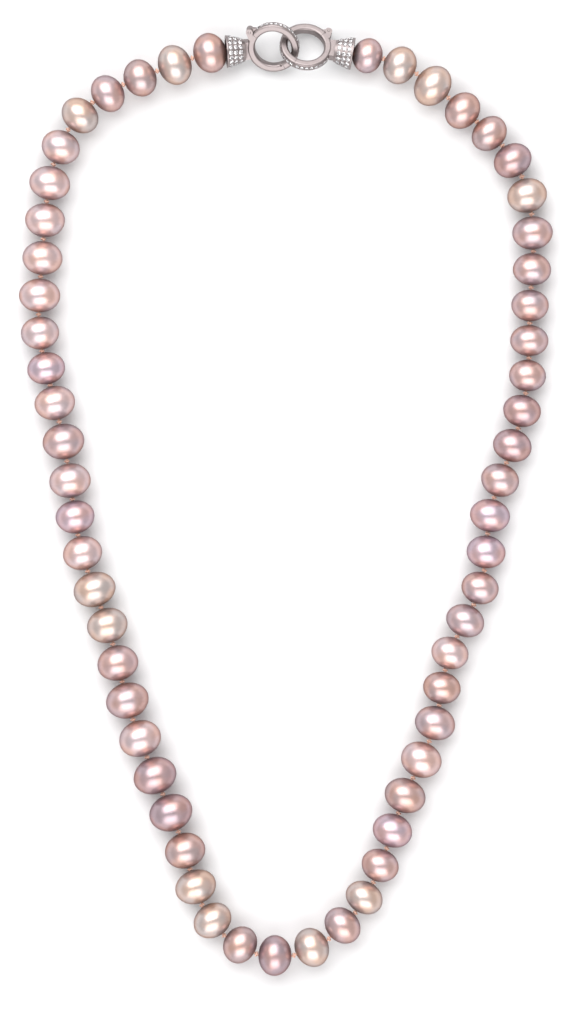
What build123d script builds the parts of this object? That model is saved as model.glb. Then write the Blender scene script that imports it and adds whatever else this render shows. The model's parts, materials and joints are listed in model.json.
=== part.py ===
from build123d import *
from dataclasses import dataclass
from math import atan2, degrees, sin
import os

os.makedirs("parts", exist_ok=True)

# A knotted strand of button pearls, closed by two linked hinged rings. It lies flat on z = 0
# as an open drop, with the clasp at +Y. Lengths are in millimetres, angles in degrees.

# ---- Strand ----
# The strand's centre line in plan, from the left end cap down, round the bottom and up to the
# right end cap. A pearl lies on each point and one half-way along each run but the last.
strand_route = [
    (-15.0, 89.0),
    (-29.0, 84.0),
    (-41.0, 76.5),
    (-47.0, 63.0),
    (-48.5, 48.0),
    (-49.0, 33.0),
    (-46.0, 19.0),
    (-43.0, 3.5),
    (-40.5, -11.0),
    (-35.5, -25.5),
    (-31.5, -40.5),
    (-26.0, -55.5),
    (-20.0, -70.5),
    (-14.5, -84.5),
    (-2.0, -91.5),
    (11.5, -85.5),
    (19.0, -73.5),
    (24.0, -59.5),
    (30.0, -45.0),
    (33.0, -31.0),
    (39.0, -18.0),
    (41.0, -3.5),
    (45.5, 10.5),
    (48.5, 24.5),
    (49.0, 38.5),
    (49.5, 53.0),
    (45.5, 67.5),
    (35.5, 77.5),
    (23.0, 86.5),
    (16.5, 88.5),
]
centre_number = 28
left_groups = [1, 2, 3, 3, 3, 3, 3, 3, 3, 4]
right_groups = [1, 2, 3, 3, 3, 3, 3, 3, 4, 4]

knot_gap = 0.72
width_over_length = 1.22
width_ripple = 0.10
ripple_step = 2.3
drill_radius = 0.45
silk_radius = 0.26
knot_radius = 0.62
knot_face_radius = 0.42
knot_clearance = 0.07
knot_bite = 0.24

# ---- Clasp rings ----
link_centre = Vector(0.9, 90.2, 4.05)
ring_spacing = 6.5
ring_tilt = 30
ring_mean_radius = 4.43
band_width = 1.5
band_depth = 1.9
band_round = 0.45
hinge_angle = 143
catch_angle = 299
split_gap = 0.06

# ---- Hinge and catch ----
pin_radius = 0.32
pin_length = 2.1
pin_round = 0.1
pin_running_gap = 0.04
pin_orbit = 5.8
knuckle_radius = 0.7
knuckle_gap = 0.12
centre_knuckle = 0.8
ear_gap = 0.05
web_turn = 12
web_orbit = 4.9
web_radius = 0.4
tongue_radius = 0.33
tongue_length = 0.55
socket_radius = 0.5
socket_depth = 0.75
dimple_orbit = 3.98
dimple_radius = 0.2
dimple_depth = 0.4

# ---- End caps ----
cap_length = 3.7
cap_neck_radius = 2.2
cap_mouth_radius = 3.25
cap_rim = 0.2
cap_wall = 0.65
cap_floor = 0.95
cavity_floor_radius = 1.45
saddle_half_width = 2.0
saddle_turn = 24
saddle_orbit = 4.5
saddle_depth = 1.7
spigot_radius = 0.8
spigot_length = 0.5

# ---- Thread loops ----
loop_radius = 0.75
loop_wire = 0.22
loop_height = 0.35
loop_root = 0.4
tie_radius = 0.45
tie_silk = 0.2
end_knot_height = 2.75
end_knot_half = 0.3
end_silk_top = 3.3

# ---- Stones ----
ring_stone_size = 0.85
cap_stone_size = 0.92
stone_pavilion = 0.43
stone_table = 0.28
stone_crown = 0.17
stone_sink = 0.05
fixed_stone_span = (214, 291)
fixed_stone_count = 8
gate_stone_span = (-53, 125)
gate_stone_count = 18
cap_stone_rows = [(0.88, 14), (1.88, 16), (2.88, 18)]

ring_outer = ring_mean_radius + band_width / 2
split_trim = degrees(split_gap / ring_mean_radius) / 2
left, right = "left", "right"
rising = (Align.CENTER, Align.CENTER, Align.MIN)
hanging = (Align.CENTER, Align.CENTER, Align.MAX)


@dataclass
class Side:
    """One half of the clasp, modelled in two frames of its own: the ring's, with +Z along the
    ring's axis, and the cap's, with +Z from the cap's neck to its mouth. Ring angles are given
    for the left half, and the right half mirrors them."""

    name: str
    neck: Vector
    heading: float
    rise: float
    raised: float
    dimple_angle: float

    def way(self):
        return -1 if self.name == left else 1

    def angle(self, left_angle):
        return left_angle if self.name == left else 180 - left_angle

    def ring_frame(self):
        """The ring's middle plane, tipped up towards the raised direction."""
        tip = Axis((0, 0, 0), Vector(0, 1, 0).rotate(Axis.Z, self.raised))
        return Plane(
            link_centre + Vector(self.way() * ring_spacing / 2, 0, 0),
            x_dir=Vector(1, 0, 0).rotate(tip, -ring_tilt),
            z_dir=Vector(0, 0, 1).rotate(tip, -ring_tilt),
        )

    def cap_frame(self):
        level = Vector(1, 0, 0).rotate(Axis.Z, self.heading)
        sideways = Vector(0, 1, 0).rotate(Axis.Z, self.heading)
        return Plane(self.neck, x_dir=sideways, z_dir=level.rotate(Axis((0, 0, 0), sideways), -self.rise))

    def cap_in_ring(self):
        return Plane(self.ring_frame().location.inverse() * self.cap_frame().location)

    def mouth(self):
        return self.neck + self.cap_frame().z_dir * cap_length


sides = [
    Side(left, Vector(-8.1, 89.6, 3.3), 184.5, 4.5, 80, 293),
    Side(right, Vector(9.95, 89.45, 3.6), 350.5, 1.0, 260, 186),
]


def pearl_points():
    """Every pearl's place in plan, in order along the strand."""
    with BuildLine() as route:
        Spline(*strand_route)
    line = route.edges()[0]
    marks = [line.param_at_point(Vector(*point)) for point in strand_route]
    points = []
    for start, end in zip(marks[:-2], marks[1:-1]):
        run = line.trim(start, end)
        points.append(run.position_at(0))
        points.append(run.position_at(run.length / 2, PositionMode.LENGTH))
    return points + [Vector(*point) for point in strand_route[-2:]]


points = pearl_points()
count = len(points)
mouths = [Vector(side.mouth().X, side.mouth().Y) for side in sides]
chain = [mouths[0], *points, mouths[1]]
drill_lines = [(chain[n + 2] - chain[n]).normalized() for n in range(count)]
pitches = [(after - before).length for before, after in zip(points, points[1:])]
pitches = [pitches[0], *pitches, pitches[-1]]
half_lengths = [((pitches[n] + pitches[n + 1]) / 2 - knot_gap) / 2 for n in range(count)]
radii = [half_lengths[n] * width_over_length + width_ripple * sin(ripple_step * n) for n in range(count)]
centres = [Vector(points[n].X, points[n].Y, radii[n]) for n in range(count)]


def pole(number, way):
    """A pearl's drilled end: way is 1 for the end further along the route, -1 for the other."""
    return centres[number] + drill_lines[number] * (way * half_lengths[number])


def knot_place(number):
    """The plane of the knot that follows this pearl, and half its thickness."""
    here, there = pole(number, 1), pole(number + 1, -1)
    across = (centres[number + 1] - centres[number]).normalized()
    place = Plane((here + there) / 2, x_dir=(0, 0, 1), z_dir=across)
    return place, (there - here).dot(across) / 2 - knot_clearance


def drilled_pearl(number):
    """A button pearl about +Z, drilled along its short axis."""
    half, radius = half_lengths[number], radii[number]
    with BuildPart() as pearl:
        with BuildSketch(Plane.XZ):
            Ellipse(radius, half)
            with Locations((drill_radius, 0)):
                Rectangle(4 * radius, 4 * half, align=(Align.MAX, Align.CENTER), mode=Mode.SUBTRACT)
        revolve(axis=Axis.Z)
    return pearl.part


def silk_knot(half):
    """A round-sided knot about +Z, pressed flat where it faces its two pearls."""
    with BuildPart() as knot:
        with BuildSketch(Plane.XZ):
            with BuildLine():
                Polyline((knot_face_radius, -half), (0, -half), (0, half), (knot_face_radius, half))
                ThreePointArc((knot_face_radius, half), (knot_radius, 0), (knot_face_radius, -half))
            make_face()
        revolve(axis=Axis.Z)
    return knot.part


pearl_shapes = [drilled_pearl(number) for number in range(count)]
knot_places = [knot_place(number) for number in range(count - 1)]
knot_shapes = [silk_knot(half) for _, half in knot_places]


def thread_run(number, knots):
    """The plane half-way along the silk in this pearl, and the silk's length: it bites into the
    knots that move with it and stops flush with the pearl elsewhere."""
    low = -half_lengths[number] - (knot_bite if number - 1 in knots else 0)
    high = half_lengths[number] + (knot_bite if number in knots else 0)
    middle = centres[number] + drill_lines[number] * ((low + high) / 2)
    return Plane(middle, x_dir=(0, 0, 1), z_dir=drill_lines[number]), high - low


def export(piece, name, frame=Plane.XY):
    """Writes a piece, moved from its own frame to its place in the necklace."""
    placed = piece.part.moved(frame.location)
    placed.label = name
    export_step(placed, f"parts/{name}.step")


def make_group(pearl_name, silk_name, numbers, knots):
    """One length of strand that moves as a whole: its pearls, and its silk with these knots."""
    with BuildPart() as pearls:
        for number in numbers:
            with Locations(Plane(centres[number], z_dir=drill_lines[number])):
                add(pearl_shapes[number])
    export(pearls, pearl_name)

    runs = [thread_run(number, knots) for number in numbers]
    with BuildPart() as silk:
        for place, length in runs:
            with Locations(place):
                Cylinder(silk_radius, length)
        for number in knots:
            with Locations(knot_places[number][0]):
                add(knot_shapes[number])
    export(silk, silk_name)


make_group("centre_pearl", "centre_silk", [centre_number], [centre_number - 1, centre_number])

pivots = {left: [], right: []}
for name, groups, way in ((left, left_groups, -1), (right, right_groups, 1)):
    first = centre_number + way
    for order, size in enumerate(groups, 1):
        numbers = [first + way * step for step in range(size)]
        outer_knots = [min(number, number + way) for number in numbers]
        inner_knot = min(first, first - way)
        outer_knots = [number for number in outer_knots if 0 <= number < count - 1]
        pivots[name].append(knot_places[inner_knot][0].origin)
        make_group(f"{name}_pearls_{order:02d}", f"{name}_silk_{order:02d}", numbers, outer_knots)
        first += way * size
    pivots[name].append(pole(first - way, way))


# ---- Clasp ----


def brilliant(size):
    """A round stone about +Z, with the underside of its girdle on z = 0."""
    with BuildPart() as stone:
        with BuildSketch(Plane.XZ):
            with BuildLine():
                Polyline(
                    (0, -stone_pavilion * size),
                    (size / 2, 0),
                    (size / 2, stone_sink),
                    (stone_table * size, stone_crown * size),
                    (0, stone_crown * size),
                    close=True,
                )
            make_face()
        revolve(axis=Axis.Z)
    return stone.part


ring_stone = brilliant(ring_stone_size)
cap_stone = brilliant(cap_stone_size)


def polar(angle, radius):
    return Vector(radius, 0, 0).rotate(Axis.Z, angle)


def section_plane(angle):
    """The plane through a ring's axis at this angle: x outwards, y along the axis."""
    return Plane((0, 0, 0), x_dir=polar(angle, 1), z_dir=polar(angle - 90, 1))


def across_band(angle):
    """The plane across a ring's band at this angle: z runs along the band, counterclockwise."""
    return Plane(polar(angle, ring_mean_radius), x_dir=polar(angle, 1), z_dir=polar(angle + 90, 1))


def band_arc(side, start, end):
    """The first angle and the sweep of the band between two left-hand angles."""
    low = min(side.angle(start), side.angle(end))
    return low + split_trim, end - start - 2 * split_trim


def ring_stone_seats(side, span, number):
    step = (span[1] - span[0]) / (number - 1)
    angles = [side.angle(span[0] + step * place) for place in range(number)]
    depth = ring_outer - stone_sink
    return [Plane(polar(angle, depth), x_dir=(0, 0, 1), z_dir=polar(angle, 1)) for angle in angles]


def cap_stone_seats():
    """The stones' places on the cap's cone, in rings from the neck to the mouth."""
    slope = (cap_mouth_radius - cap_neck_radius) / (cap_length - cap_rim)
    seats = []
    for row, (height, number) in enumerate(cap_stone_rows):
        for place in range(number):
            angle = (place + row / 2) * 360 / number
            outward = (polar(angle, 1) - Vector(0, 0, slope)).normalized()
            surface = polar(angle, cap_neck_radius + slope * height) + Vector(0, 0, height)
            seats.append(Plane(surface - outward * stone_sink, x_dir=polar(angle + 90, 1), z_dir=outward))
    return seats


def band(side, start, end):
    """The rounded band between two left-hand angles."""
    low, sweep = band_arc(side, start, end)
    with BuildPart() as arc:
        with BuildSketch(section_plane(low)) as section:
            with Locations((ring_mean_radius, 0)):
                Rectangle(band_width, band_depth)
            fillet(section.vertices(), band_round)
        revolve(axis=Axis.Z, revolution_arc=sweep)
    return arc.part


def knuckle(side, web_side, bottom, top):
    """A slice of the hinge barrel with its web into the band, on one side of the split."""
    with BuildPart() as leaf:
        with BuildSketch(Plane.XY.offset(bottom)):
            with Locations(polar(side.angle(hinge_angle), pin_orbit)):
                Circle(knuckle_radius)
            with Locations(polar(side.angle(hinge_angle + web_side * web_turn), web_orbit)):
                Circle(web_radius)
            make_hull()
        extrude(amount=top - bottom)
    return leaf.part


def make_cap(side):
    """The hollow cone that the strand ends in, with a spigot hole in its neck."""
    with BuildPart() as cap:
        with BuildSketch(Plane.XZ):
            with BuildLine():
                Polyline(
                    (0, 0),
                    (cap_neck_radius, 0),
                    (cap_mouth_radius, cap_length - cap_rim),
                    (cap_mouth_radius, cap_length),
                    (cap_mouth_radius - cap_wall, cap_length),
                    (cavity_floor_radius, cap_floor),
                    (0, cap_floor),
                    close=True,
                )
            make_face()
        revolve(axis=Axis.Z)
        Cylinder(spigot_radius, spigot_length, align=rising, mode=Mode.SUBTRACT)
        with Locations((-loop_radius, 0, cap_floor), (loop_radius, 0, cap_floor)):
            Cylinder(loop_wire, loop_root, align=hanging, mode=Mode.SUBTRACT)
        with Locations(*cap_stone_seats()):
            add(cap_stone, mode=Mode.SUBTRACT)
    export(cap, f"{side.name}_end_cap", side.cap_frame())


def make_cap_stones(side):
    with BuildPart() as stones:
        with Locations(*cap_stone_seats()):
            add(cap_stone)
    export(stones, f"{side.name}_cap_stones", side.cap_frame())


def make_thread_loop(side):
    """A wire staple set in the cap's floor, which the silk is tied round."""
    spring = cap_floor + loop_height
    with BuildPart() as loop:
        with BuildSketch(Plane.XY.offset(spring)):
            with Locations((loop_radius, 0)):
                Circle(loop_wire)
        revolve(axis=Axis((0, 0, spring), (0, -1, 0)), revolution_arc=180)
        with Locations((-loop_radius, 0, spring), (loop_radius, 0, spring)):
            Cylinder(loop_wire, loop_height + loop_root, align=hanging)
    export(loop, f"{side.name}_thread_loop", side.cap_frame())


def make_end_silk(side):
    """The silk's tied end: a turn round the staple, a knot, and the thread up to the pearl."""
    crown = cap_floor + loop_height + loop_radius
    with BuildPart() as silk:
        with BuildSketch(Plane.XZ):
            with Locations((0, crown + tie_radius)):
                Circle(tie_silk)
        revolve(axis=Axis((0, 0, crown), (1, 0, 0)))
        with Locations((0, 0, end_knot_height)):
            add(silk_knot(end_knot_half))
        with Locations((0, 0, end_knot_height)):
            Cylinder(silk_radius, end_silk_top - end_knot_height, align=rising)
    export(silk, f"{side.name}_end_silk", side.cap_frame())


def make_ring(side):
    """The ring's fixed part: less than half of the band, the saddle that joins it to the cap,
    the hinge's two outer knuckles and the catch's socket."""
    cap = side.cap_in_ring()
    inwards = Vector(cap.z_dir.X, cap.z_dir.Y).normalized()
    sideways = inwards.rotate(Axis.Z, 90) * saddle_half_width
    far_end = Vector(cap.origin.X, cap.origin.Y) + inwards
    towards_cap = degrees(atan2(cap.origin.Y, cap.origin.X))
    pin = polar(side.angle(hinge_angle), pin_orbit)
    inner_edge = centre_knuckle / 2 + ear_gap
    fixed_band = band(side, hinge_angle, catch_angle)
    upper_knuckle = knuckle(side, 1, inner_edge, band_depth / 2)
    lower_knuckle = knuckle(side, 1, -band_depth / 2, -inner_edge)
    with BuildPart() as ring:
        with BuildSketch():
            with BuildLine():
                Polyline(
                    far_end + sideways,
                    far_end - sideways,
                    polar(towards_cap - saddle_turn, saddle_orbit),
                    polar(towards_cap + saddle_turn, saddle_orbit),
                    close=True,
                )
            make_face()
        extrude(amount=saddle_depth / 2, both=True)
        split(bisect_by=cap, keep=Keep.BOTTOM)
        add(fixed_band)
        with Locations(cap):
            Cylinder(spigot_radius, spigot_length, align=rising)
        with Locations(pin):
            Cylinder(knuckle_radius + knuckle_gap, 2 * inner_edge, mode=Mode.SUBTRACT)
        add(upper_knuckle)
        add(lower_knuckle)
        with Locations(pin):
            Cylinder(pin_radius, pin_length, mode=Mode.SUBTRACT)
        with Locations(across_band(side.angle(catch_angle))):
            Cylinder(socket_radius, 2 * socket_depth, mode=Mode.SUBTRACT)
        with Locations(polar(side.dimple_angle, dimple_orbit) + Vector(0, 0, band_depth / 2)):
            Cylinder(dimple_radius, dimple_depth, align=hanging, mode=Mode.SUBTRACT)
        with Locations(*ring_stone_seats(side, fixed_stone_span, fixed_stone_count)):
            add(ring_stone, mode=Mode.SUBTRACT)
    export(ring, f"{side.name}_ring", side.ring_frame())


def make_gate(side):
    """The ring's hinged part, with the hinge's centre knuckle and the catch's tongue."""
    pin = polar(side.angle(hinge_angle), pin_orbit)
    outer_edge = centre_knuckle / 2
    hinged_band = band(side, catch_angle - 360, hinge_angle)
    centre = knuckle(side, -1, -outer_edge, outer_edge)
    with BuildPart() as gate:
        add(hinged_band)
        with Locations(pin + Vector(0, 0, outer_edge)):
            Cylinder(knuckle_radius + knuckle_gap, band_depth, align=rising, mode=Mode.SUBTRACT)
        with Locations(pin - Vector(0, 0, outer_edge)):
            Cylinder(knuckle_radius + knuckle_gap, band_depth, align=hanging, mode=Mode.SUBTRACT)
        add(centre)
        with Locations(pin):
            Cylinder(pin_radius + pin_running_gap, pin_length, mode=Mode.SUBTRACT)
        with Locations(across_band(side.angle(catch_angle))):
            Cylinder(tongue_radius, 2 * tongue_length)
        with Locations(*ring_stone_seats(side, gate_stone_span, gate_stone_count)):
            add(ring_stone, mode=Mode.SUBTRACT)
    export(gate, f"{side.name}_gate", side.ring_frame())


def make_ring_stones(side, name, span, number):
    with BuildPart() as stones:
        with Locations(*ring_stone_seats(side, span, number)):
            add(ring_stone)
    export(stones, f"{side.name}_{name}", side.ring_frame())


def make_hinge_pin(side):
    """The pin is held in the outer knuckles and turns in the centre one."""
    with BuildPart() as pin:
        with Locations(polar(side.angle(hinge_angle), pin_orbit)):
            Cylinder(pin_radius, pin_length)
        chamfer(pin.edges().filter_by(GeomType.CIRCLE), pin_round)
    export(pin, f"{side.name}_hinge_pin", side.ring_frame())


for side in sides:
    make_cap(side)
    make_cap_stones(side)
    make_thread_loop(side)
    make_end_silk(side)
    make_ring(side)
    make_ring_stones(side, "ring_stones", fixed_stone_span, fixed_stone_count)
    make_gate(side)
    make_ring_stones(side, "gate_stones", gate_stone_span, gate_stone_count)
    make_hinge_pin(side)

print("strand joints, from the centre pearl outwards")
for name in (left, right):
    for order, pivot in enumerate(pivots[name], 1):
        print(f"{name} {order:2d}  {pivot.X:9.4f} {pivot.Y:9.4f} {pivot.Z:9.4f}")
for side in sides:
    frame = side.ring_frame()
    pin = frame.from_local_coords(polar(side.angle(hinge_angle), pin_orbit))
    print(f"{side.name} hinge pin at {pin}, along {frame.z_dir}")
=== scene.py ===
import json
from math import cos, pi, radians, sin

import bpy
import numpy as np
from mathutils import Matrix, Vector, noise


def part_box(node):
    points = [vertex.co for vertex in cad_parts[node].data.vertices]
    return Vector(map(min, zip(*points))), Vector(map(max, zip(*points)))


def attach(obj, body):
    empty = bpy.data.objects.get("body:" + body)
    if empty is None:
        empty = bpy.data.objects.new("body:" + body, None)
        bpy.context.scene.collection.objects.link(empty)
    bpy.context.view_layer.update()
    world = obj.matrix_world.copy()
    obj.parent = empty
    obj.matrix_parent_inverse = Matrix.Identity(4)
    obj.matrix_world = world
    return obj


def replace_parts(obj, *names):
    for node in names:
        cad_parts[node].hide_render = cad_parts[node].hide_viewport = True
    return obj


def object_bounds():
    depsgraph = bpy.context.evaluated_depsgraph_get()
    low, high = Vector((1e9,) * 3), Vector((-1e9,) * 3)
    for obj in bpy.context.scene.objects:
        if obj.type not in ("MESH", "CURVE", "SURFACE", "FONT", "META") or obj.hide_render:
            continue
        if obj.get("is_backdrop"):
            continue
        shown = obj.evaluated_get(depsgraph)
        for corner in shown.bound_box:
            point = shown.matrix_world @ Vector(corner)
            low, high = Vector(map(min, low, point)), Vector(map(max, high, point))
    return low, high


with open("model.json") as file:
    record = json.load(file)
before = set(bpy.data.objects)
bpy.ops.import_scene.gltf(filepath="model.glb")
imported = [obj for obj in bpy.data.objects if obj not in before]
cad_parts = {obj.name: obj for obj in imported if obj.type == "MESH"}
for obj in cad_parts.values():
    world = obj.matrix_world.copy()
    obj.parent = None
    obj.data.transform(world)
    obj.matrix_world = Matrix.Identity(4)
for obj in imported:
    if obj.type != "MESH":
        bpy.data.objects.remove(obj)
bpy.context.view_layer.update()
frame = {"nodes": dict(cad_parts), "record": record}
MM = 0.001

# ---- Numbers that set the looks ----
PEARL_ROWS, PEARL_COLUMNS = 40, 72
HOLE_RADIUS = 0.45 * MM
HOLE_WALL = 0.85 * HOLE_RADIUS
HOLE_LIP, HOLE_DEPTH = 0.975, 0.6
SURFACE_DENT = 0.035
EGG = 0.03
SILK_RADIUS = 0.26 * MM
PLY_PITCH = 0.85 * MM
KNOT_RADIUS, KNOT_HALF = 0.61 * MM, 0.28 * MM
KNOT_STRAND = 0.15 * MM
KNOT_STEPS = 72
GRAIN_RADIUS = 0.11 * MM
MILLGRAIN_RADIUS = 0.085 * MM
MILLGRAIN_STEP = 0.25 * MM
MILLGRAIN_OFFSET = 0.6 * MM
WIDEST_MILLGRAIN_GAP = 0.4
METAL_LIFT = 0.03 * MM
RING_PRONG = 0.3 * MM

# A CAD stone's depth and crown, and how far apart two neighbours are, in stone widths.
STONE_DEPTH, STONE_CROWN = 0.6, 0.17
NEIGHBOUR_REACH = 1.35

# The colour of each pearl from the left end cap down, round and up to the right one.
TINTS = {
    "m": (0.53, 0.385, 0.385),
    "l": (0.55, 0.40, 0.43),
    "p": (0.62, 0.46, 0.45),
    "r": (0.52, 0.365, 0.345),
    "b": (0.58, 0.46, 0.415),
    "d": (0.47, 0.33, 0.34),
}
STRAND = "rbrmbppppp" "plpmplpbbm" "mpddrbbrdb" "mbmlrpmrpm" "mllmddmmmm" "mbdrrbbm"


# ---- Materials ----
def material(name, **values):
    made = bpy.data.materials.new(name)
    made.use_nodes = True
    shader = made.node_tree.nodes["Principled BSDF"]
    for socket, value in values.items():
        shader.inputs[socket.replace("_", " ")].default_value = value
    return made, made.node_tree.nodes, made.node_tree.links, shader


def pattern(nodes, links, kind, scale, **values):
    """A texture node fed with the piece's own coordinates."""
    place = nodes.new("ShaderNodeTexCoord")
    texture = nodes.new(kind)
    texture.inputs["Scale"].default_value = scale
    for socket, value in values.items():
        texture.inputs[socket].default_value = value
    links.new(place.outputs["Object"], texture.inputs["Vector"])
    return texture


def ramp(nodes, links, factor, *stops):
    made = nodes.new("ShaderNodeValToRGB")
    while len(made.color_ramp.elements) < len(stops):
        made.color_ramp.elements.new(0.5)
    for element, (place, colour) in zip(made.color_ramp.elements, stops):
        element.position = place
        element.color = (*colour, 1)
    links.new(factor, made.inputs["Fac"])
    return made.outputs["Color"]


def blend_colours(nodes, links, mode, amount, first, second):
    made = nodes.new("ShaderNodeMix")
    made.data_type = "RGBA"
    made.blend_type = mode
    made.inputs["Factor"].default_value = amount
    links.new(first, made.inputs["A"])
    links.new(second, made.inputs["B"])
    return made.outputs["Result"]


def bump(nodes, links, shader, height, strength, distance):
    made = nodes.new("ShaderNodeBump")
    made.inputs["Strength"].default_value = strength
    made.inputs["Distance"].default_value = distance
    links.new(height, made.inputs["Height"])
    links.new(made.outputs["Normal"], shader.inputs["Normal"])


def nacre_material():
    made, nodes, links, shader = material(
        "nacre",
        Metallic=0.85,
        Roughness=0.34,
        Specular_Tint=(0.12, 0.05, 0.05, 1),
        Coat_Weight=0.15,
        Coat_Roughness=0.12,
    )
    tint = nodes.new("ShaderNodeAttribute")
    tint.attribute_name = "tint"
    overtone = pattern(nodes, links, "ShaderNodeTexNoise", 260, Detail=1.0)
    hues = ramp(
        nodes,
        links,
        overtone.outputs["Fac"],
        (0.36, (0.82, 0.93, 1.0)),
        (0.5, (1.0, 1.0, 1.0)),
        (0.64, (1.0, 0.90, 0.80)),
    )
    colour = blend_colours(nodes, links, "MULTIPLY", 0.8, tint.outputs["Color"], hues)
    links.new(colour, shader.inputs["Base Color"])
    grain = pattern(nodes, links, "ShaderNodeTexNoise", 900, Detail=3.0)
    bump(nodes, links, shader, grain.outputs["Fac"], 0.12, 0.05 * MM)
    return made


def metal_material():
    made, nodes, links, shader = material("polished_metal", Metallic=1.0)
    wear = pattern(nodes, links, "ShaderNodeTexNoise", 700, Detail=4.0)
    gloss = ramp(nodes, links, wear.outputs["Fac"], (0.3, (0.34,) * 3), (0.7, (0.46,) * 3))
    links.new(gloss, shader.inputs["Roughness"])
    tone = ramp(
        nodes,
        links,
        wear.outputs["Fac"],
        (0.3, (0.235, 0.20, 0.20)),
        (0.7, (0.30, 0.26, 0.255)),
    )
    links.new(tone, shader.inputs["Base Color"])
    return made


def stone_material():
    made, nodes, links, shader = material(
        "brilliant", Transmission_Weight=1.0, IOR=2.4, Roughness=0.0
    )
    cloud = pattern(nodes, links, "ShaderNodeTexNoise", 1100)
    tone = ramp(
        nodes,
        links,
        cloud.outputs["Fac"],
        (0.35, (0.36, 0.34, 0.36)),
        (0.65, (0.86, 0.84, 0.84)),
    )
    links.new(tone, shader.inputs["Base Color"])
    return made


def silk_material():
    made, nodes, links, shader = material("silk", Roughness=0.55, Sheen_Weight=0.4)
    fibre = pattern(nodes, links, "ShaderNodeTexNoise", 5000, Detail=2.0)
    tone = ramp(
        nodes,
        links,
        fibre.outputs["Fac"],
        (0.3, (0.52, 0.29, 0.21)),
        (0.7, (0.78, 0.50, 0.39)),
    )
    links.new(tone, shader.inputs["Base Color"])
    bump(nodes, links, shader, fibre.outputs["Fac"], 0.5, 0.03 * MM)
    return made


NACRE, METAL = nacre_material(), metal_material()
STONE, SILK = stone_material(), silk_material()


# ---- Meshes ----
class Shape:
    """Vertices and faces gathered for one piece."""

    def __init__(self):
        self.points, self.faces, self.tints = [], [], []

    def add(self, points, faces, tint=None):
        start = len(self.points)
        self.points.extend(points)
        self.faces.extend([start + corner for corner in face] for face in faces)
        if tint:
            self.tints.extend([(*tint, 1)] * len(points))

    def piece(self, name, body, look, smooth=True):
        mesh = bpy.data.meshes.new(name)
        mesh.from_pydata([tuple(point) for point in self.points], [], self.faces)
        if smooth:
            mesh.shade_smooth()
        if self.tints:
            layer = mesh.attributes.new("tint", "FLOAT_COLOR", "POINT")
            layer.data.foreach_set("color", np.array(self.tints, np.float32).ravel())
        mesh.materials.append(look)
        made = bpy.data.objects.new(name, mesh)
        bpy.context.scene.collection.objects.link(made)
        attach(made, body)
        return made


def grid(rows, columns, closed=False):
    """The faces of a grid of points, joined up round each row, and end to end if closed."""
    return [
        (
            row * columns + column,
            row * columns + (column + 1) % columns,
            (row + 1) % rows * columns + (column + 1) % columns,
            (row + 1) % rows * columns + column,
        )
        for row in range(rows if closed else rows - 1)
        for column in range(columns)
    ]


def across(axis):
    """Two directions square to an axis and to each other."""
    first = axis.cross(Vector((0, 0, 1)) if abs(axis.z) < 0.9 else Vector((1, 0, 0))).normalized()
    return first, axis.cross(first)


def tube(path, radius, sides, closed=False):
    """A round tube along a path."""
    points, side = [], None
    for number, place in enumerate(path):
        if closed:
            ahead = (path[(number + 1) % len(path)] - path[number - 1]).normalized()
        else:
            ahead = (path[min(number + 1, len(path) - 1)] - path[max(number - 1, 0)]).normalized()
        side = across(ahead)[0] if side is None else (side - ahead * side.dot(ahead)).normalized()
        other = ahead.cross(side)
        for step in range(sides):
            turn = 2 * pi * step / sides
            points.append(place + (side * cos(turn) + other * sin(turn)) * radius)
    return points, grid(len(path), sides, closed)


def ball(centre, radius, rows=6, columns=8):
    points = []
    for row in range(rows + 1):
        polar = pi * (row + 0.02) / (rows + 0.04)
        for column in range(columns):
            turn = 2 * pi * column / columns
            points.append(
                centre + Vector((sin(polar) * cos(turn), sin(polar) * sin(turn), cos(polar))) * radius
            )
    return points, grid(rows + 1, columns)


# ---- Reading the CAD model ----
def islands(node):
    """The separate solids of a CAD node, each as its corner points and triangles."""
    mesh = frame["nodes"][node].data
    mesh.calc_loop_triangles()
    co = np.array([v.co for v in mesh.vertices])
    _, same = np.unique(np.round(co, 7), axis=0, return_inverse=True)
    same = same.ravel()
    root = list(range(same.max() + 1))

    def find(item):
        while root[item] != item:
            root[item] = root[root[item]]
            item = root[item]
        return item

    triangles = [tuple(t.vertices) for t in mesh.loop_triangles]
    for a, b, c in triangles:
        root[find(same[a])] = find(same[b])
        root[find(same[b])] = find(same[c])
    groups = {}
    for triangle in triangles:
        groups.setdefault(find(same[triangle[0]]), []).append(triangle)
    return [co[np.array(group)] for group in groups.values()]


def middle_and_axis(triangles):
    """A solid's middle, and the direction in which it is thinnest, weighing its surface by area."""
    a, b, c = triangles[:, 0], triangles[:, 1], triangles[:, 2]
    area = np.linalg.norm(np.cross(b - a, c - a), axis=1)
    centre = (area[:, None] * (a + b + c)).sum(0) / 3 / area.sum()
    middles = (a + b + c) / 3 - centre
    spread = (middles * area[:, None]).T @ middles
    return centre, np.linalg.eigh(spread)[1][:, 0]


class Pearl:
    def __init__(self, node, triangles):
        centre, axis = middle_and_axis(triangles)
        corners = triangles.reshape(-1, 3) - centre
        along = corners @ axis
        self.node = node
        self.centre = Vector(centre)
        self.axis = Vector(axis)
        self.half = float(np.ptp(along) / 2)
        self.radius = float(np.linalg.norm(corners - np.outer(along, axis), axis=1).max())

    def pole(self, way):
        return self.centre + self.axis * (self.half * way)


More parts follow.
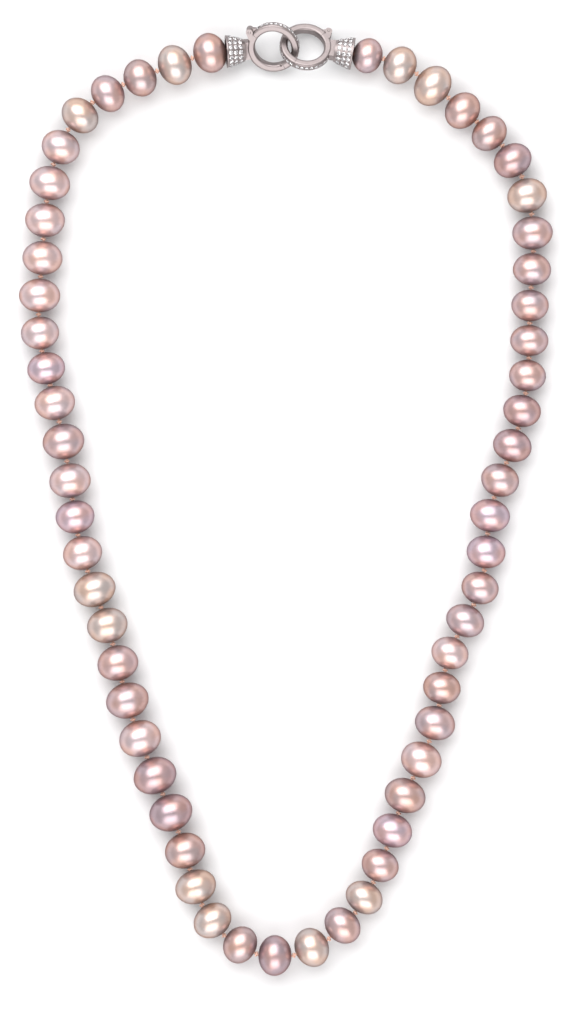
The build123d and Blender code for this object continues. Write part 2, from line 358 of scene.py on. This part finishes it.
def pearls_in_order():
    """Every pearl, walked from the left end cap, with its axis turned along the walk."""
    names = [name for name in frame["nodes"] if "pearl" in name]
    left = [Pearl(name, solid) for name in names for solid in islands(name)]
    place = sum(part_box("left_end_cap"), Vector()) / 2
    ordered = []
    while left:
        nearest = min(left, key=lambda pearl: (pearl.centre - place).length)
        left.remove(nearest)
        if nearest.axis.dot(nearest.centre - place) < 0:
            nearest.axis = -nearest.axis
        place = nearest.centre
        ordered.append(nearest)
    return ordered


class Stone:
    """A stone of the CAD model: its seat on the metal, its outward direction and its width."""

    def __init__(self, triangles):
        centre, axis = middle_and_axis(triangles)
        along = (triangles.reshape(-1, 3) - centre) @ axis
        if along.max() > -along.min():
            axis, along = -axis, -along
        self.out = Vector(axis)
        self.size = float(np.ptp(along) / STONE_DEPTH)
        self.seat = Vector(centre) + self.out * (float(along.max()) - STONE_CROWN * self.size)


body_of = {}
for body, nodes in frame["record"]["behaviour"]["bodies"].items():
    for node in nodes:
        body_of[node] = body


# ---- Pearls ----
def pearl_skin(pearl, number):
    """A button pearl: an ellipsoid with one fuller end, shallow dents and rounded hole edges."""
    first, second = across(pearl.axis)
    seed = Vector((number * 3.7, number * 1.3, number * 7.1))
    lean = EGG * sin(number * 2.4)
    start = HOLE_RADIUS / pearl.radius
    deep, lip = pearl.half * HOLE_DEPTH, pearl.half * HOLE_LIP
    profile = [(HOLE_WALL, deep, 0.0), (HOLE_WALL, lip, 0.0)]
    for row in range(PEARL_ROWS + 1):
        polar = start + (pi - 2 * start) * row / PEARL_ROWS
        wide = sin(polar)
        egg = 1 - abs(lean) * 0.5 + lean * cos(polar) * wide
        profile.append((pearl.radius * wide * min(egg, 1), pearl.half * cos(polar), wide))
    profile += [(HOLE_WALL, -lip, 0.0), (HOLE_WALL, -deep, 0.0)]
    points = []
    for reach, height, wide in profile:
        for column in range(PEARL_COLUMNS):
            turn = 2 * pi * column / PEARL_COLUMNS
            point = (first * cos(turn) + second * sin(turn)) * reach + pearl.axis * height
            dent = 0.5 + 0.5 * noise.noise(point / pearl.radius * 0.9 + seed)
            points.append(pearl.centre + point * (1 - SURFACE_DENT * dent * wide * wide))
    return points, grid(len(profile), PEARL_COLUMNS)


strand = pearls_in_order()
for node in sorted({pearl.node for pearl in strand}):
    skin = Shape()
    for number, pearl in enumerate(strand):
        if pearl.node == node:
            skin.add(*pearl_skin(pearl, number), TINTS[STRAND[number]])
    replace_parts(skin.piece(f"nacre_{node}", body_of[node], NACRE), node)


# ---- Silk ----
def plies(start, end):
    """Two twisted strands that fill the thread's width."""
    axis = (end - start).normalized()
    first, second = across(axis)
    length = (end - start).length
    steps = max(8, int(length / PLY_PITCH * 12))
    for ply in (0, 1):
        path = []
        for step in range(steps + 1):
            turn = 2 * pi * (length * step / steps / PLY_PITCH) + ply * pi
            round_axis = (first * cos(turn) + second * sin(turn)) * (SILK_RADIUS / 2)
            path.append(start + axis * (length * step / steps) + round_axis)
        yield tube(path, SILK_RADIUS / 2, 6)


def knot(centre, axis):
    """A pulled-tight overhand knot, as a closed trefoil of silk pressed flat along the thread."""
    first, second = across(axis)
    wide = KNOT_RADIUS - KNOT_STRAND
    path = []
    for step in range(KNOT_STEPS):
        turn = 2 * pi * step / KNOT_STEPS
        reach = wide * (0.62 + 0.38 * cos(3 * turn))
        height = (KNOT_HALF - KNOT_STRAND) * sin(3 * turn)
        path.append(
            centre + (first * cos(2 * turn) + second * sin(2 * turn)) * reach + axis * height
        )
    return tube(path, KNOT_STRAND, 8, closed=True)


centre_number = next(n for n, pearl in enumerate(strand) if pearl.node == "centre_pearl")
for node in sorted({pearl.node for pearl in strand}):
    numbers = [n for n, pearl in enumerate(strand) if pearl.node == node]
    silk = Shape()
    for number in numbers:
        for ply in plies(strand[number].pole(-1), strand[number].pole(1)):
            silk.add(*ply)
    gaps = set()
    for number in numbers:
        if number <= centre_number and number > 0:
            gaps.add(number - 1)
        if number >= centre_number and number < len(strand) - 1:
            gaps.add(number)
    for gap in sorted(gaps):
        here, there = strand[gap].pole(1), strand[gap + 1].pole(-1)
        middle = (here + there) / 2
        silk.add(*knot(middle, (strand[gap + 1].centre - strand[gap].centre).normalized()))
        silk.add(*tube([here, middle, there], SILK_RADIUS * 0.9, 8))
    silk_node = node.replace("pearls", "silk").replace("pearl", "silk")
    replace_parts(silk.piece(f"plies_{silk_node}", body_of[silk_node], SILK), silk_node)


# ---- Clasp ----
def brilliant(stone):
    """A round brilliant: table, star, kite and girdle facets, and a pavilion to a point."""
    first, second = across(stone.out)

    def ring(number, reach, height, shift=0.0):
        turns = [2 * pi * (step + shift) / number for step in range(number)]
        return [
            stone.seat
            + (first * cos(turn) + second * sin(turn)) * (reach * stone.size)
            + stone.out * (height * stone.size)
            for turn in turns
        ]

    points = ring(8, 0.28, 0.17) + ring(8, 0.40, 0.11, 0.5)
    points += ring(16, 0.497, 0.045) + ring(16, 0.497, 0.01)
    points += ring(8, 0.25, -0.21, 0.5) + [stone.seat - stone.out * (0.425 * stone.size)]
    table, star, crown, girdle, low, culet = 0, 8, 16, 32, 48, 56
    faces = [tuple(range(8))]
    for step in range(8):
        after, before = (step + 1) % 8, (step - 1) % 8
        edge = [crown + (2 * step + shift) % 16 for shift in range(3)]
        under = [girdle + (2 * step + shift) % 16 for shift in range(3)]
        faces += [
            (table + step, star + step, table + after),
            (table + step, star + before, edge[0], star + step),
            (star + step, edge[0], edge[1]),
            (star + step, edge[1], edge[2]),
            (edge[0], under[0], under[1], edge[1]),
            (edge[1], under[1], under[2], edge[2]),
            (low + step, under[1], under[0]),
            (low + step, under[2], under[1]),
            (culet, low + step, under[0], low + before),
        ]
    return points, faces


def set_stones(node, prongs):
    """Replaces a node's stones with faceted ones, and adds the metal grains that hold them."""
    stones = [Stone(solid) for solid in islands(node)]
    facets, grains = Shape(), Shape()
    for stone in stones:
        facets.add(*brilliant(stone))
    for number, stone in enumerate(stones):
        for other in stones[number + 1 :]:
            gap = other.seat - stone.seat
            if gap.length < NEIGHBOUR_REACH * stone.size:
                out = (stone.out + other.out).normalized()
                middle = (stone.seat + other.seat) / 2 + out * METAL_LIFT
                side = out.cross(gap).normalized()
                for offset in prongs:
                    grains.add(*ball(middle + side * offset, GRAIN_RADIUS))
    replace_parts(facets.piece(f"facets_{node}", body_of[node], STONE, smooth=False), node)
    return stones, grains


def ring_circle(stones):
    """The centre, axis and radius of the circle through a ring's stones."""
    seats = np.array([stone.seat for stone in stones])
    middle = seats.mean(0)
    axis = np.linalg.svd(seats - middle)[2][2]
    axis = axis * np.sign(axis[2])
    first = np.linalg.svd(seats - middle)[2][0]
    second = np.cross(axis, first)
    flat = np.stack([(seats - middle) @ first, (seats - middle) @ second], axis=1)
    fit = np.linalg.lstsq(np.c_[2 * flat, np.ones(len(flat))], (flat**2).sum(1), rcond=None)[0]
    centre = middle + first * fit[0] + second * fit[1]
    radius = float(np.sqrt(fit[2] + fit[0] ** 2 + fit[1] ** 2))
    return Vector(centre), Vector(axis), radius


def millgrain(stones, circle, grains):
    """Two rows of fine beads along the stones, one on each edge of the band."""
    centre, axis, radius = circle
    seats = [(stone.seat - centre).normalized() for stone in stones]
    step = MILLGRAIN_STEP / radius
    for here, there in zip(seats, seats[1:]):
        angle = here.angle(there)
        number = max(2, round(angle / step))
        if angle > WIDEST_MILLGRAIN_GAP:
            continue
        for place in range(number):
            spoke = here.slerp(there, place / number)
            for side in (-1, 1):
                point = centre + spoke * (radius + METAL_LIFT) + axis * (side * MILLGRAIN_OFFSET)
                grains.add(*ball(point, MILLGRAIN_RADIUS, 5, 6))


for side in ("left", "right"):
    _, cap_grains = set_stones(f"{side}_cap_stones", (0.0,))
    cap_grains.piece(f"{side}_cap_grains", f"{side}_clasp", METAL)
    fixed, fixed_grains = set_stones(f"{side}_ring_stones", (-RING_PRONG, RING_PRONG))
    gate, gate_grains = set_stones(f"{side}_gate_stones", (-RING_PRONG, RING_PRONG))
    circle = ring_circle(fixed + gate)
    millgrain(fixed, circle, fixed_grains)
    millgrain(gate, circle, gate_grains)
    fixed_grains.piece(f"{side}_ring_grains", f"{side}_clasp", METAL)
    gate_grains.piece(f"{side}_gate_grains", f"{side}_gate", METAL)

for name, node in frame["nodes"].items():
    look = METAL
    if "silk" in name:
        look = SILK
    elif "stones" in name:
        look = STONE
    elif "pearl" in name:
        look = NACRE
    node.data.materials.clear()
    node.data.materials.append(look)


# ---- Floor, light and camera ----
def area_light(name, tilt, heading, distance, size, power):
    """A soft light at this tilt from straight above, towards this compass heading from +Y."""
    light = bpy.data.lights.new(name, "AREA")
    light.shape = "RECTANGLE"
    light.size, light.size_y = size
    light.energy = power
    made = bpy.data.objects.new(name, light)
    bpy.context.scene.collection.objects.link(made)
    tilt, heading = radians(tilt), radians(heading)
    away = Vector((sin(tilt) * sin(heading), sin(tilt) * cos(heading), cos(tilt)))
    made.location = away * distance
    made.rotation_mode = "QUATERNION"
    made.rotation_quaternion = away.to_track_quat("Z", "Y")
    made.visible_camera = False
    return made


area_light("sheet_top", 41, -8, 2.0, (2.8, 2.7), 36)
area_light("sheet_bottom", 51, 178, 2.0, (2.8, 2.6), 32)
area_light("key", 37, -24, 1.8, (2.2, 1.6), 26)
area_light("fill", 46, 176, 1.8, (1.8, 1.1), 10)


def plane(name, size, centre, look):
    """A flat rectangle of the studio."""
    mesh = bpy.data.meshes.new(name)
    corners = [(-1, -1), (1, -1), (1, 1), (-1, 1)]
    mesh.from_pydata([(x * size[0] / 2, y * size[1] / 2, 0) for x, y in corners], [], [(0, 1, 2, 3)])
    mesh.materials.append(look)
    made = bpy.data.objects.new(name, mesh)
    made.location = centre
    bpy.context.scene.collection.objects.link(made)
    made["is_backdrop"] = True
    return made


pale, black = (0.64, 0.64, 0.645, 1), (0.03, 0.03, 0.03, 1)
paper, _, _, _ = material("paper", Roughness=1.0, Specular_IOR_Level=0, Base_Color=pale)
felt, _, _, _ = material("felt", Roughness=1.0, Specular_IOR_Level=0, Base_Color=black)
plane("floor", (6, 6), (0, 0, 0), paper)
# A black card over the camera, unseen itself, which the pearls show as a thin dark band.
card = plane("card", (2.6, 0.26), (-0.15, -0.2, 1.7), felt)
card.visible_camera = False

world = bpy.data.worlds.new("studio")
bpy.context.scene.world = world
world.use_nodes = True
world.node_tree.nodes["Background"].inputs["Color"].default_value = (0.70, 0.69, 0.69, 1)

bpy.context.scene.view_settings.view_transform = "Standard"

low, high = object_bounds()
camera_height = 1.2
shown_length = 0.2048
strand_height = 0.004
sensor = 36
lens = bpy.data.cameras.new("camera")
lens.sensor_width = sensor
lens.lens = sensor * (camera_height - strand_height) / shown_length
camera = bpy.data.objects.new("camera", lens)
camera.location = (0.0006, -0.0028, camera_height)
bpy.context.scene.collection.objects.link(camera)
bpy.context.scene.camera = camera

visual_box = [list(corner) for corner in (low, high)]
